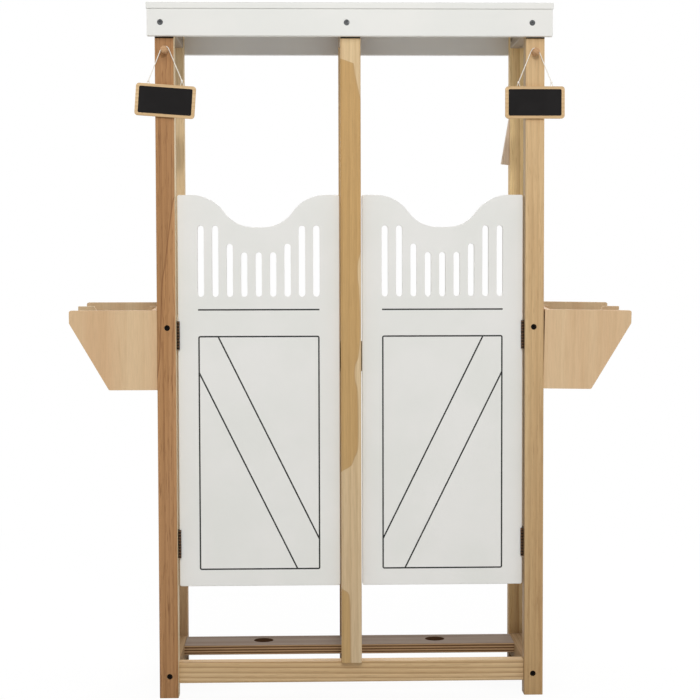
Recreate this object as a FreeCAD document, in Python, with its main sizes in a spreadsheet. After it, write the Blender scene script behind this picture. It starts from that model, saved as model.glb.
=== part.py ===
import FreeCAD, Part
import math
import os
import Sketcher

# A hobby horse stable of planed timber and painted board.
# The origin is on the floor, midway between the four corner posts. X runs along the
# front, Y from front to back and Z up. All lengths are in millimetres, angles in degrees.

sizes = {
    # frame
    "frame_width": 610,
    "frame_depth": 240,
    "post_side": 30,
    "post_height": 1084,
    "post_rounding": 2.5,
    "centre_post_width": 32,
    "rail_width": 30,
    "rail_rounding": 2,
    "top_rail_height": 34,
    "middle_rail_height": 30,
    "middle_rail_level": 588,
    "bottom_rail_height": 33.3,
    "bottom_rail_top": 54,
    "front_rail_depth": 23,
    "front_rail_setback": 12,
    # shelf for the sticks
    "shelf_thickness": 16,
    "shelf_depth": 71,
    "shelf_front": 15,
    "shelf_rounding": 1.5,
    "stick_hole_radius": 16,
    "stick_hole_spread": 144.5,
    "stick_hole_setback": 39.5,
    "stick_hole_rounding": 1.5,
    # roof
    "roof_board_thickness": 10,
    "fascia_height": 42,
    "fascia_thickness": 12,
    "fascia_overhang": 11,
    "roof_board_overhang": 1.2,
    "roof_rounding": 1.2,
    # doors
    "door_thickness": 12,
    "door_setback": 14,
    "door_bottom": 176.2,
    "door_height": 620.6,
    "door_centre_gap": 1.7,
    "door_corner_rounding": 3,
    "door_edge_rounding": 1.2,
    "door_shoulder": 22.2,
    "door_crest_radius": 63,
    "door_dip_depth": 50.6,
    "door_dip_flat": 16,
    "slot_width": 10,
    "slot_pitch": 22.8,
    "slot_bottom": 460.3,
    "slot_long": 112.2,
    "slot_medium": 83.5,
    "slot_short": 70,
    "groove_width": 2.4,
    "groove_depth": 1,
    "groove_corner": 3.4,
    "groove_line_level": 439.8,
    "groove_panel_width": 189.3,
    "groove_panel_bottom": 27.2,
    "groove_panel_height": 370.2,
    "brace_angle": 26.23,
    "brace_upper_offset": 64.4,
    "brace_lower_offset": 59.7,
    # stop behind the centre post, with a pad for each door
    "stop_width": 60,
    "stop_height": 48,
    "stop_thickness": 10,
    "stop_rounding": 1.5,
    "stop_level": 541,
    "stop_screw_spread": 12,
    "pad_radius": 5,
    "pad_inset": 7,
    "pad_gap": 0.3,
    # hinges
    "hinge_length": 45,
    "upper_hinge_drop": 198.6,
    "lower_hinge_rise": 45.7,
    "knuckle_radius": 2.4,
    "knuckle_gap": 0.3,
    "knuckle_clearance": 0.3,
    "pin_radius": 1.2,
    "pin_clearance": 0.05,
    "leaf_thickness": 0.9,
    "leaf_gap": 0.3,
    "leaf_width": 10.5,
    "leaf_screw_inset": 9,
    "leaf_screw_setback": 5.5,
    "hinge_screw_head_radius": 1.9,
    "hinge_screw_radius": 1,
    "hinge_screw_length": 9,
    # troughs
    "trough_length": 234,
    "trough_height": 125.5,
    "trough_reach": 137.5,
    "trough_foot": 76.3,
    "trough_lip": 20,
    "trough_board": 9,
    "trough_rounding": 3,
    "trough_setback": 5,
    "trough_bottom": 490,
    "trough_tilt": 1.9,
    "right_trough_lean": 0.9,
    "left_trough_lean": 0,
    "divider_horn": 26,
    "divider_heel": 12,
    "divider_dip": 22,
    "divider_slope": 12,
    "trough_dowel_radius": 2.5,
    "trough_dowel_length": 14,
    "trough_dowel_depth": 5,
    "trough_dowel_level": 60,
    "trough_dowel_reach": 40,
    "trough_screw_level": 98,
    "trough_screw_inset": 75,
    "trough_screw_length": 30,
    # signs
    "peg_radius": 5.5,
    "peg_length": 24,
    "peg_depth": 12,
    "peg_rounding": 4.5,
    "left_peg_inset": 16.3,
    "left_peg_drop": 63.4,
    "right_peg_inset": 15.7,
    "right_peg_drop": 65.6,
    "sign_width": 93.4,
    "sign_height": 50.3,
    "sign_thickness": 5,
    "sign_corner": 5,
    "sign_edge_rounding": 0.8,
    "sign_standoff": 3.2,
    "sign_drop": 78.2,
    "left_sign_tilt": 4,
    "right_sign_tilt": 0,
    "panel_width": 83.3,
    "panel_height": 41.5,
    "panel_corner": 2.5,
    "panel_thickness": 1.3,
    "panel_recess": 1.6,
    "string_radius": 0.7,
    "string_clearance": 0.1,
    "knot_radius": 1.8,
    "knot_spread": 26,
    "knot_drop": 47,
    "string_leg_radius": 0.6,
    "string_leg_spread": 2.4,
    "string_leg_clearance": 0.4,
    # wedge on the right rear post
    "wedge_height": 79.5,
    "wedge_width": 13.4,
    "wedge_toe": 1.5,
    "wedge_depth": 16,
    "wedge_drop": 149.5,
    "wedge_setback": 7,
    "wedge_screw_level": 14,
    "wedge_screw_inset": 10.6,
    # fasteners
    "bolt_radius": 3,
    "bolt_head_radius": 4.3,
    "bolt_head_height": 4,
    "bolt_recess": 3,
    "roof_bolt_recess": 0.4,
    "bolt_grip": 25,
    "bolt_socket_radius": 2.3,
    "bolt_socket_depth": 2.4,
    "counterbore_clearance": 0.3,
    "bolt_inset": 16,
    "bottom_bolt_drop": 19.7,
    "side_bolt_drop": 9,
    "side_bolt_setback": 21,
    "roof_bolt_drop": 21,
    "left_roof_bolt_inset": 9.8,
    "centre_roof_bolt_offset": 6,
    "right_roof_bolt_inset": 21.1,
    "nut_radius": 5,
    "nut_length": 12,
    "nut_setback": 18,
    "wood_screw_head_radius": 4,
    "wood_screw_head_height": 3,
    "wood_screw_radius": 2,
    "wood_screw_length": 38,
    "wood_screw_recess": 0.8,
    "shelf_screw_inset": 17,
    "roof_screw_spread": 60,
    "centre_screw_recess": 9.3,
    # how far a cutting shape runs past the wood
    "overrun": 6,
}

# A door's nine slots from the edge to the middle, each with the size that gives its length.
slot_lengths = ["slot_long", "slot_long", "slot_medium", "slot_short", "slot_short"]
segment_count = 6
# how much of an edge runs along an axis before it counts as straight along it
straight_share = 0.99
# two lengths closer than this are the same
tolerance = 1e-3
left = -1
right = 1

doc = FreeCAD.newDocument("HobbyHorseStable")
sheet = doc.addObject("Spreadsheet::Sheet", "Sizes")
for row, (alias, number) in enumerate(sizes.items(), start=1):
    sheet.set(f"A{row}", alias)
    sheet.set(f"B{row}", str(number))
    sheet.setAlias(f"B{row}", alias)
doc.recompute()


class Span:
    # A length or angle: its present number and the sheet formula that gives it.
    def __init__(self, number, formula):
        self.number = number
        self.formula = formula

    def __add__(self, other):
        other = asSpan(other)
        return Span(self.number + other.number, f"({self.formula} + {other.formula})")

    def __sub__(self, other):
        other = asSpan(other)
        return Span(self.number - other.number, f"({self.formula} - {other.formula})")

    def __mul__(self, other):
        other = asSpan(other)
        return Span(self.number * other.number, f"({self.formula} * {other.formula})")

    def __truediv__(self, other):
        other = asSpan(other)
        return Span(self.number / other.number, f"({self.formula} / {other.formula})")

    def __rmul__(self, other):
        return asSpan(other) * self

    def __neg__(self):
        return asSpan(-1) * self


def asSpan(thing):
    return thing if isinstance(thing, Span) else Span(thing, str(thing))


def cosine(angle):
    return Span(math.cos(math.radians(angle.number)), f"cos({angle.formula})")


def tangent(angle):
    return Span(math.tan(math.radians(angle.number)), f"tan({angle.formula})")


def size(alias):
    return Span(float(sheet.get(alias)), f"Sizes.{alias}")


zero = Span(0, "0")
parts = []
cutters = []


def keep(thing, label):
    thing.Label = label
    parts.append(thing)
    return thing


def bind(thing, **formulas):
    for name, span in formulas.items():
        thing.setExpression(name, span.formula)


def place(thing, x=zero, y=zero, z=zero, yaw=zero, pitch=zero, roll=zero):
    # Roll turns about X, then pitch about Y, then yaw about Z, then the piece moves.
    turns = "; ".join(asSpan(angle).formula for angle in (yaw, pitch, roll))
    vector = f"create(<<vector>>; {x.formula}; {y.formula}; {z.formula})"
    rotation = f"create(<<rotation>>; {turns})"
    thing.setExpression("Placement", f"create(<<placement>>; {vector}; {rotation})")
    return thing


# Sketches and bodies


def newSketch(body, role, offset=zero):
    sketch = body.newObject("Sketcher::SketchObject", "Outline")
    origin = [feature for feature in body.Origin.OriginFeatures if feature.Role == role]
    sketch.AttachmentSupport = [(origin[0], "")]
    sketch.MapMode = "FlatFace"
    sketch.setExpression("AttachmentOffset.Base.z", offset.formula)
    return sketch


def hold(sketch, kind, geometry, end, span):
    # Ties one coordinate of a sketch point to a size.
    constraint = Sketcher.Constraint(kind, -1, 1, geometry, end, float(span.number))
    index = sketch.addConstraint(constraint)
    sketch.setExpression(f"Constraints[{index}]", span.formula)


def addOutline(sketch, corners, bends={}):
    # Closed outline through the corners. A bend turns the edge after a corner into an
    # arc of that radius, to the left of the way round when its turn is positive.
    first = sketch.GeometryCount
    count = len(corners)
    ends = []
    for index, (x, z) in enumerate(corners):
        nextX, nextZ = corners[(index + 1) % count]
        start = FreeCAD.Vector(x.number, z.number, 0)
        stop = FreeCAD.Vector(nextX.number, nextZ.number, 0)
        if index in bends:
            radius, turn = bends[index]
            along = stop - start
            chord = along.Length
            rise = math.sqrt(radius.number**2 - (chord / 2) ** 2)
            normal = FreeCAD.Vector(-along.y, along.x, 0) * (turn / chord)
            centre = (start + stop) * 0.5 + normal * rise
            if turn < 0:
                start, stop = stop, start
            fromAngle = math.atan2(start.y - centre.y, start.x - centre.x)
            toAngle = math.atan2(stop.y - centre.y, stop.x - centre.x)
            circle = Part.Circle(centre, FreeCAD.Vector(0, 0, 1), radius.number)
            sketch.addGeometry(Part.ArcOfCircle(circle, fromAngle, toAngle), False)
            ends.append((1, 2) if turn > 0 else (2, 1))
        else:
            sketch.addGeometry(Part.LineSegment(start, stop), False)
            ends.append((1, 2))
    for index in range(count):
        following = (index + 1) % count
        joint = (first + index, ends[index][1], first + following, ends[following][0])
        sketch.addConstraint(Sketcher.Constraint("Coincident", *joint))
    for index, (x, z) in enumerate(corners):
        hold(sketch, "DistanceX", first + index, ends[index][0], x)
        hold(sketch, "DistanceY", first + index, ends[index][0], z)
        if index in bends:
            radius = bends[index][0]
            constraint = Sketcher.Constraint("Radius", first + index, float(radius.number))
            number = sketch.addConstraint(constraint)
            sketch.setExpression(f"Constraints[{number}]", radius.formula)


def addCircle(sketch, x, y, radius):
    centre = FreeCAD.Vector(x.number, y.number, 0)
    circle = Part.Circle(centre, FreeCAD.Vector(0, 0, 1), radius.number)
    geometry = sketch.addGeometry(circle, False)
    hold(sketch, "DistanceX", geometry, 3, x)
    hold(sketch, "DistanceY", geometry, 3, y)
    index = sketch.addConstraint(Sketcher.Constraint("Radius", geometry, float(radius.number)))
    sketch.setExpression(f"Constraints[{index}]", radius.formula)


def rectangle(lowX, lowY, highX, highY):
    return [(lowX, lowY), (highX, lowY), (highX, highY), (lowX, highY)]


def roundedRectangle(lowX, lowY, highX, highY, radius):
    # The corners of a rectangle with round corners, and the bends at them.
    corners = [
        (lowX + radius, lowY),
        (highX - radius, lowY),
        (highX, lowY + radius),
        (highX, highY - radius),
        (highX - radius, highY),
        (lowX + radius, highY),
        (lowX, highY - radius),
        (lowX, lowY + radius),
    ]
    return corners, {index: (radius, 1) for index in range(1, len(corners), 2)}


def pad(body, sketch, length, reversed=False):
    feature = body.newObject("PartDesign::Pad", "Pad")
    feature.Profile = sketch
    feature.Reversed = reversed
    bind(feature, Length=length)
    sketch.Visibility = False
    return feature


def pocket(body, sketch, depth):
    before = body.Shape.Volume
    feature = body.newObject("PartDesign::Pocket", "Pocket")
    feature.Profile = sketch
    bind(feature, Length=depth)
    sketch.Visibility = False
    doc.recompute()
    if not body.Shape.Volume < before:
        raise RuntimeError(f"a pocket of {body.Label} cuts nothing")
    return feature


def softened(body, radius, wanted):
    # Rounds the edges of the body that the wanted test picks.
    doc.recompute()
    base = body.Tip
    names = [f"Edge{n}" for n, edge in enumerate(base.Shape.Edges, start=1) if wanted(edge)]
    if not names:
        raise RuntimeError(f"no edge of {body.Label} to round")
    feature = body.newObject("PartDesign::Fillet", "Fillet")
    feature.Base = (base, names)
    bind(feature, Radius=radius)
    doc.recompute()
    return feature


def runsAlong(axis):
    # A test for the straight edges that run along one axis.
    def test(edge):
        box = edge.BoundBox
        lengths = {"X": box.XLength, "Y": box.YLength, "Z": box.ZLength}
        return lengths[axis] > straight_share * edge.Length and edge.Curve.TypeId == "Part::GeomLine"

    return test


def everyEdge(edge):
    return True


def profiled(label, outlines, start, thickness):
    # A board cut to an outline in the XZ plane, from start to start + thickness along Y.
    body = doc.addObject("PartDesign::Body", label)
    sketch = newSketch(body, "XZ_Plane", -start)
    for corners, bends in outlines:
        addOutline(sketch, corners, bends)
    pad(body, sketch, thickness, reversed=True)
    doc.recompute()
    return body


def slab(label, lengthX, lengthY, lengthZ, grain):
    # A straight piece centred on its own origin, drawn across its grain.
    body = doc.addObject("PartDesign::Body", label)
    across = {
        "X": ("YZ_Plane", lengthY, lengthZ, lengthX),
        "Y": ("XZ_Plane", lengthX, lengthZ, lengthY),
        "Z": ("XY_Plane", lengthX, lengthY, lengthZ),
    }
    role, width, height, length = across[grain]
    sketch = newSketch(body, role, -length / 2)
    corners = rectangle(-width / 2, -height / 2, width / 2, height / 2)
    addOutline(sketch, corners)
    pad(body, sketch, length)
    doc.recompute()
    return body


def copyOf(master, **where):
    link = doc.addObject("App::Link", master.Name + "_copy")
    link.LinkedObject = master
    return place(link, **where)


def group(name, members):
    compound = doc.addObject("Part::Compound", name)
    compound.Links = members
    return compound


def joined(name, shapes):
    if len(shapes) == 1:
        return shapes[0]
    fusion = doc.addObject("Part::MultiFuse", name)
    fusion.Shapes = shapes
    return fusion


def cutBy(name, blank, tools):
    cut = doc.addObject("Part::Cut", name)
    cut.Base = blank
    cut.Tool = joined(name + "_holes", tools)
    return cut


def drilled(name, blank):
    # The blank with a hole for every fastener that crosses it.
    doc.recompute()
    box = Part.getShape(blank).BoundBox
    tools = [cutter for cutter in cutters if Part.getShape(cutter).BoundBox.intersect(box)]
    return keep(cutBy(name + "_piece", blank, tools) if tools else blank, name)


def rod(name, radius, length, **where):
    cylinder = doc.addObject("Part::Cylinder", name)
    bind(cylinder, Radius=radius, Height=length)
    return place(cylinder, **where)


def block(name, centreX, centreY, bottom, lengthX, lengthY, lengthZ):
    box = doc.addObject("Part::Box", name)
    bind(box, Length=lengthX, Width=lengthY, Height=lengthZ)
    return place(box, x=centreX - lengthX / 2, y=centreY - lengthY / 2, z=bottom)


# Places that many pieces share

overrun = size("overrun")
postSide = size("post_side")
halfWidth = size("frame_width") / 2
halfDepth = size("frame_depth") / 2
innerHalf = halfWidth - postSide
innerDepth = size("frame_depth") - postSide * 2
postX = halfWidth - postSide / 2
postY = halfDepth - postSide / 2
postTop = size("post_height")
railTop = size("bottom_rail_top")
roofBoltZ = postTop - size("roof_bolt_drop")
wedgeBottom = postTop - size("wedge_drop") - size("wedge_height")
doorBottom = size("door_bottom")
doorHeight = size("door_height")

# Fasteners
# Each one has the top of its head at its own origin and points down. A cutter is the
# hole that it needs, open above its head.


def boltMaster(name, shank, recess):
    headHeight = size("bolt_head_height")
    headRadius = size("bolt_head_radius")
    head = rod(name + "_head", headRadius, headHeight, z=-headHeight)
    stem = rod(name + "_stem", size("bolt_radius"), shank, z=-(headHeight + shank))
    socket = doc.addObject("Part::Prism", name + "_socket")
    socket.Polygon = 6
    socketDepth = size("bolt_socket_depth")
    bind(socket, Circumradius=size("bolt_socket_radius"), Height=socketDepth + overrun)
    place(socket, z=-socketDepth)
    bolt = cutBy(name, joined(name + "_solid", [head, stem]), [socket])
    mouthRadius = headRadius + size("counterbore_clearance")
    mouth = rod(name + "_mouth", mouthRadius, headHeight + recess + overrun, z=-headHeight)
    return bolt, joined(name + "_cutter", [mouth, stem])


def screwMaster(name, headRadius, headHeight, radius, length, mouthHeight):
    head = doc.addObject("Part::Cone", name + "_head")
    bind(head, Radius1=radius, Radius2=headRadius, Height=headHeight)
    place(head, z=-headHeight)
    stem = rod(name + "_stem", radius, length - headHeight, z=-length)
    screw = joined(name, [head, stem])
    mouth = rod(name + "_mouth", headRadius, mouthHeight)
    return screw, joined(name + "_cutter", [head, stem, mouth])


def fasten(members, master, **where):
    # Adds one fastener to its group and its hole to the cutters.
    fastener, cutter = master
    members.append(copyOf(fastener, **where))
    cutters.append(copyOf(cutter, **where))


grip = size("bolt_grip")
seat = size("bolt_recess") + size("bolt_head_height")
roofSeat = size("roof_bolt_recess") + size("bolt_head_height")
fasciaThickness = size("fascia_thickness")
frameBolt = boltMaster("frame_bolt", postSide - seat + grip, size("bolt_recess"))
roofShank = fasciaThickness - roofSeat + postSide + grip
roofBolt = boltMaster("roof_bolt", roofShank, size("roof_bolt_recess"))

nutRadius = size("nut_radius")
nutLength = size("nut_length")
nutBlank = rod("nut_blank", nutRadius, nutLength, z=-nutLength / 2)
nutBore = rod("nut_bore", size("bolt_radius"), nutRadius * 4, y=nutRadius * 2, roll=90)
nutWell = group("nut_well", [rod("well", nutRadius, nutLength / 2 + postSide, z=-nutLength / 2)])
nut = (cutBy("nut", nutBlank, [nutBore]), nutWell)

woodScrew = screwMaster(
    "wood_screw",
    size("wood_screw_head_radius"),
    size("wood_screw_head_height"),
    size("wood_screw_radius"),
    size("wood_screw_length"),
    size("centre_screw_recess") + overrun,
)

boltX = halfWidth - size("bolt_inset")
boltHeadY = halfDepth - size("bolt_recess")
roofHeadY = halfDepth + fasciaThickness - size("roof_bolt_recess")
nutY = halfDepth - postSide - size("nut_setback")
roofBoltInset = {left: size("left_roof_bolt_inset"), right: size("right_roof_bolt_inset")}
frameBolts = []
roofBolts = []
centreBolts = []
nuts = []

# Bolts through the posts into the ends of the rails between front and rear. A barrel nut
# lies across each rail end, with its mouth on a side rail's inner side.
for side in (left, right):
    for end in (-1, 1):
        for z in (railTop - size("bottom_bolt_drop"), size("middle_rail_level")):
            x = side * boltX
            fasten(frameBolts, frameBolt, x=x, y=end * boltHeadY, z=z, roll=-end * 90)
            fasten(nuts, nut, x=x, y=end * nutY, z=z, pitch=-side * 90)
        x = side * (halfWidth - roofBoltInset[side])
        fasten(roofBolts, roofBolt, x=x, y=end * roofHeadY, z=roofBoltZ, roll=-end * 90)
        fasten(nuts, nut, x=x, y=end * nutY, z=roofBoltZ, pitch=-side * 90)

x = -size("centre_roof_bolt_offset")
for end in (-1, 1):
    fasten(centreBolts, roofBolt, x=x, y=end * roofHeadY, z=roofBoltZ, roll=-end * 90)
    fasten(nuts, nut, x=x, y=end * nutY, z=roofBoltZ, pitch=90)

# One bolt on each side goes through the front post into the end of the front rail.
y = size("side_bolt_setback") - halfDepth
z = railTop - size("side_bolt_drop")
for side in (left, right):
    x = side * (halfWidth - size("bolt_recess"))
    fasten(frameBolts, frameBolt, x=x, y=y, z=z, pitch=side * 90)
    x = side * (innerHalf - size("nut_setback"))
    fasten(nuts, nut, x=x, y=y, z=z, yaw=90, pitch=90)

# Wood screws hold the shelf, the roof board, the centre post's foot, the wedge and the
# door stop, whose screws come with it.
woodScrews = []
screwRecess = size("wood_screw_recess")
shelfFront = size("shelf_front")
shelfBack = shelfFront + size("shelf_depth")
shelfMiddle = railTop - size("shelf_thickness") / 2
topRailBottom = postTop - size("top_rail_height")
for side in (left, right):
    x = side * (halfWidth - screwRecess)
    for y in (shelfFront + size("shelf_screw_inset"), shelfBack - size("shelf_screw_inset")):
        fasten(woodScrews, woodScrew, x=x, y=y, z=shelfMiddle, pitch=side * 90)
for x in (-postX, zero, postX):
    for end in (-1, 1):
        y = end * size("roof_screw_spread")
        z = topRailBottom + screwRecess
        fasten(woodScrews, woodScrew, x=x, y=y, z=z, roll=180)

frontRailY = size("front_rail_setback") + size("front_rail_depth") / 2 - halfDepth
frontRailBottom = railTop - size("bottom_rail_height")
footScrewY = size("front_rail_setback") / 2 + postSide / 2 - halfDepth
footScrewZ = frontRailBottom + size("centre_screw_recess")
fasten(woodScrews, woodScrew, y=footScrewY, z=footScrewZ, roll=180)

wedgeY = halfDepth - postSide + size("wedge_setback") + size("wedge_depth") / 2
x = innerHalf - size("wedge_screw_inset")
z = wedgeBottom + size("wedge_screw_level")
fasten(woodScrews, woodScrew, x=x, y=wedgeY, z=z, pitch=-90)

# Hinges
# A hinge has its pin on its own Z axis and its foot at its origin. The post is on the
# outward side of the pin and the door's edge on the inward side.

hingeLength = size("hinge_length")
hingeOffset = size("knuckle_radius") + size("knuckle_clearance")
leafThickness = size("leaf_thickness")
leafGap = size("leaf_gap")
leafWidth = size("leaf_width")
hingeGap = leafThickness * 2 + leafGap
hingeX = innerHalf - hingeOffset
hingeY = size("door_setback") - hingeOffset - halfDepth
hingeLevels = [
    doorBottom + doorHeight - size("upper_hinge_drop") - hingeLength,
    doorBottom + size("lower_hinge_rise"),
]
postLeafX = hingeOffset - leafThickness / 2
doorLeafX = hingeOffset - hingeGap + leafThickness / 2
hingeScrew = screwMaster(
    "hinge_screw",
    size("hinge_screw_head_radius"),
    leafThickness,
    size("hinge_screw_radius"),
    size("hinge_screw_length"),
    leafGap,
)
pinBore = rod("pin_bore", size("pin_radius") + size("pin_clearance"), hingeLength)
pin = rod("pin", size("pin_radius"), hingeLength)


def leafMaster(name, side, leafX, inward, firstSegment):
    # One leaf with every second knuckle, from the first one up, and its two screws. The
    # screws point towards the wood that the leaf lies on.
    segment = hingeLength / segment_count
    plateY = hingeOffset + leafWidth / 2
    x = side * leafX
    shapes = [block(name + "_plate", x, plateY, zero, leafThickness, leafWidth, hingeLength)]
    height = segment - size("knuckle_gap")
    for number in range(firstSegment, segment_count, 2):
        z = segment * number + size("knuckle_gap") / 2
        shapes.append(rod(name + "_knuckle", size("knuckle_radius"), height, z=z))
        tab = block(name + "_tab", x, hingeOffset / 2, z, leafThickness, hingeOffset, height)
        shapes.append(tab)
    screws = []
    holes = []
    way = -inward * side
    headX = x - way * leafThickness / 2
    y = hingeOffset + size("leaf_screw_setback")
    for z in (size("leaf_screw_inset"), hingeLength - size("leaf_screw_inset")):
        where = {"x": headX, "y": y, "z": z, "pitch": -way * 90}
        screws.append(copyOf(hingeScrew[0], **where))
        holes.append(copyOf(hingeScrew[1], **where))
    leaf = cutBy(name, joined(name + "_solid", shapes), holes + [pinBore])
    screwPair = group(name + "_screws", screws)
    holePair = group(name + "_holes_in_wood", holes)
    return leaf, screwPair, holePair


leaves = {"post": {left: [], right: []}, "door": {left: [], right: []}}
leafScrews = {"post": [], left: [], right: []}
pins = {left: [], right: []}
for side, sideName in ((left, "left"), (right, "right")):
    postLeaf = leafMaster(sideName + "_post_leaf", side, postLeafX, -1, 0)
    doorLeaf = leafMaster(sideName + "_door_leaf", side, doorLeafX, 1, 1)
    for z in hingeLevels:
        where = {"x": side * hingeX, "y": hingeY, "z": z}
        leaves["post"][side].append(copyOf(postLeaf[0], **where))
        leaves["door"][side].append(copyOf(doorLeaf[0], **where))
        leafScrews["post"].append(copyOf(postLeaf[1], **where))
        leafScrews[side].append(copyOf(doorLeaf[1], **where))
        cutters.append(copyOf(postLeaf[2], **where))
        cutters.append(copyOf(doorLeaf[2], **where))
        pins[side].append(copyOf(pin, **where))

# Sign pegs, glued into the front posts

pegLength = size("peg_length") + size("peg_depth")
pegBody = doc.addObject("PartDesign::Body", "peg")
pegSketch = newSketch(pegBody, "XZ_Plane", -size("peg_depth"))
addCircle(pegSketch, zero, zero, size("peg_radius"))
pad(pegBody, pegSketch, pegLength)
softened(pegBody, size("peg_rounding"), lambda edge: edge.BoundBox.YMax < 0)
pegPlaces = {
    left: (size("left_peg_inset") - halfWidth, postTop - size("left_peg_drop")),
    right: (halfWidth - size("right_peg_inset"), postTop - size("right_peg_drop")),
}
pegs = {}
for side, (x, z) in pegPlaces.items():
    pegs[side] = copyOf(pegBody, x=x, y=-halfDepth, z=z)
    cutters.append(pegs[side])

# Troughs
# A trough has the lower front corner that touches the post at its own origin. It hangs
# with its rear a little higher, and the right one also leans outwards at the top.

board = size("trough_board")
troughLength = size("trough_length")
reach = size("trough_reach")
foot = size("trough_foot")
troughTop = size("trough_height")
lipBottom = troughTop - size("trough_lip")
slopeShare = (reach - foot) / lipBottom
slopeLength = Span(math.hypot(1, slopeShare.number), f"sqrt(1 + {slopeShare.formula}^2)")
boardAcross = board * slopeLength
innerLength = troughLength - board * 2
troughLean = {left: -size("left_trough_lean"), right: size("right_trough_lean")}
dowel = rod("trough_dowel", size("trough_dowel_radius"), size("trough_dowel_length"))
troughScrew = screwMaster(
    "trough_screw",
    size("wood_screw_head_radius"),
    size("wood_screw_head_height"),
    size("wood_screw_radius"),
    size("trough_screw_length"),
    overrun,
)


def slopeX(z):
    # Outer face of the sloping board at a height.
    return foot + z * slopeShare


def seatTrough(thing, side):
    x = side * halfWidth
    y = size("trough_setback") - halfDepth
    z = size("trough_bottom")
    return place(thing, x=x, y=y, z=z, pitch=troughLean[side], roll=size("trough_tilt"))


def mirroredOutline(side, corners):
    # The outline drawn on one side of the frame, kept anticlockwise.
    placed = [(side * x, z) for x, z in corners]
    return placed if side == right else placed[::-1]


def troughPiece(name, side, corners, start, thickness, rounded):
    body = profiled(name + "_blank", [(mirroredOutline(side, corners), {})], start, thickness)
    if rounded:
        # the corners away from the post
        softened(
            body,
            size("trough_rounding"),
            lambda edge: runsAlong("Y")(edge) and abs(edge.CenterOfMass.x) > tolerance,
        )
    return seatTrough(body, side)


plate = [(zero, zero), (foot, zero), (reach, lipBottom), (reach, troughTop), (zero, troughTop)]
bottomCorners = [(board, zero), (foot, zero), (slopeX(board), board), (board, board)]
outerCorners = [
    (slopeX(board) - boardAcross, board),
    (slopeX(board), board),
    (reach, lipBottom),
    (reach - boardAcross, lipBottom),
]
hornX = reach - size("divider_horn")
heelX = board + size("divider_heel")
dipZ = troughTop - size("divider_dip")
dividerCorners = [
    (board, board),
    (slopeX(board) - boardAcross, board),
    (reach - boardAcross, lipBottom),
    (reach, lipBottom),
    (reach, troughTop),
    (hornX, troughTop),
    (hornX - size("divider_slope"), dipZ),
    (heelX + size("divider_slope"), dipZ),
    (heelX, troughTop),
    (board, troughTop),
]
backCorners = rectangle(zero, zero, board, troughTop)
rearStart = troughLength - board
dividerStart = (troughLength - board) / 2
troughBlanks = []
troughDowels = []
troughScrews = []
for side, sideName in ((left, "left"), (right, "right")):
    name = sideName + "_trough_"
    pieces = [
        (name + "front", plate, zero, board, True),
        (name + "rear", plate, rearStart, board, True),
        (name + "divider", dividerCorners, dividerStart, board, False),
        (name + "bottom", bottomCorners, board, innerLength, False),
        (name + "outer_board", outerCorners, board, innerLength, False),
        (name + "back_board", backCorners, board, innerLength, False),
    ]
    for label, corners, start, thickness, rounded in pieces:
        body = troughPiece(label, side, corners, start, thickness, rounded)
        troughBlanks.append((label, body))
    # dowels join the front and rear boards to the ends of the long ones
    level = size("trough_dowel_level")
    spots = [
        (board / 2, level),
        (size("trough_dowel_reach"), board / 2),
        (slopeX(level) - boardAcross / 2, level),
    ]
    members = []
    frontY = board - size("trough_dowel_depth")
    rearY = rearStart + size("trough_dowel_depth")
    for x, z in spots:
        members.append(copyOf(dowel, x=side * x, y=frontY, z=z, roll=-90))
        members.append(copyOf(dowel, x=side * x, y=rearY, z=z, roll=90))
    dowelGroup = seatTrough(group(name + "dowel_set", members), side)
    troughDowels.append(dowelGroup)
    cutters.append(dowelGroup)
    members = []
    holes = []
    inset = size("trough_screw_inset")
    for y in (inset, troughLength - inset):
        where = {"x": side * board, "y": y, "z": size("trough_screw_level")}
        members.append(copyOf(troughScrew[0], pitch=side * 90, **where))
        holes.append(copyOf(troughScrew[1], pitch=side * 90, **where))
    troughScrews.append(seatTrough(group(name + "screw_set", members), side))
    cutters.append(seatTrough(group(name + "screw_holes", holes), side))

# A block behind the centre post stops both doors

stopWidth = size("stop_width")
stopThickness = size("stop_thickness")
stopFront = postSide - halfDepth
stopLevel = size("stop_level")
stopBlank = slab("stop_blank", stopWidth, stopThickness, size("stop_height"), "X")
softened(stopBlank, size("stop_rounding"), runsAlong("X"))
place(stopBlank, y=stopFront + stopThickness / 2, z=stopLevel)
doorBack = size("door_setback") + size("door_thickness") - halfDepth
padLength = stopFront - doorBack - size("pad_gap")
pads = []
for side in (left, right):
    x = side * (stopWidth / 2 - size("pad_inset"))
    pads.append(rod("stop_pad", size("pad_radius"), padLength, x=x, y=stopFront, z=stopLevel, roll=90))
    z = stopLevel + side * size("stop_screw_spread")
    y = stopFront + stopThickness - screwRecess
    fasten(woodScrews, troughScrew, y=y, z=z, roll=-90)

# Frame

rounding = size("post_rounding")
postBlank = slab("post_blank", postSide, postSide, postTop, "Z")
softened(postBlank, rounding, runsAlong("Z"))
for side, sideName in ((left, "left"), (right, "right")):
    for end, endName in ((-1, "front"), (1, "rear")):
        blank = copyOf(postBlank, x=side * postX, y=end * postY, z=postTop / 2)
        drilled(f"{endName}_{sideName}_post", blank)

centreLength = postTop - railTop
centreBlank = slab("centre_blank", size("centre_post_width"), postSide, centreLength, "Z")
softened(centreBlank, rounding, runsAlong("Z"))
place(centreBlank, y=-postY, z=railTop + centreLength / 2)
drilled("centre_post", centreBlank)
drilled("rear_centre_post", copyOf(postBlank, y=postY, z=postTop / 2))
drilled("door_stop", stopBlank)
keep(group("stop_pads", pads), "door_stop_pads")

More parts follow.
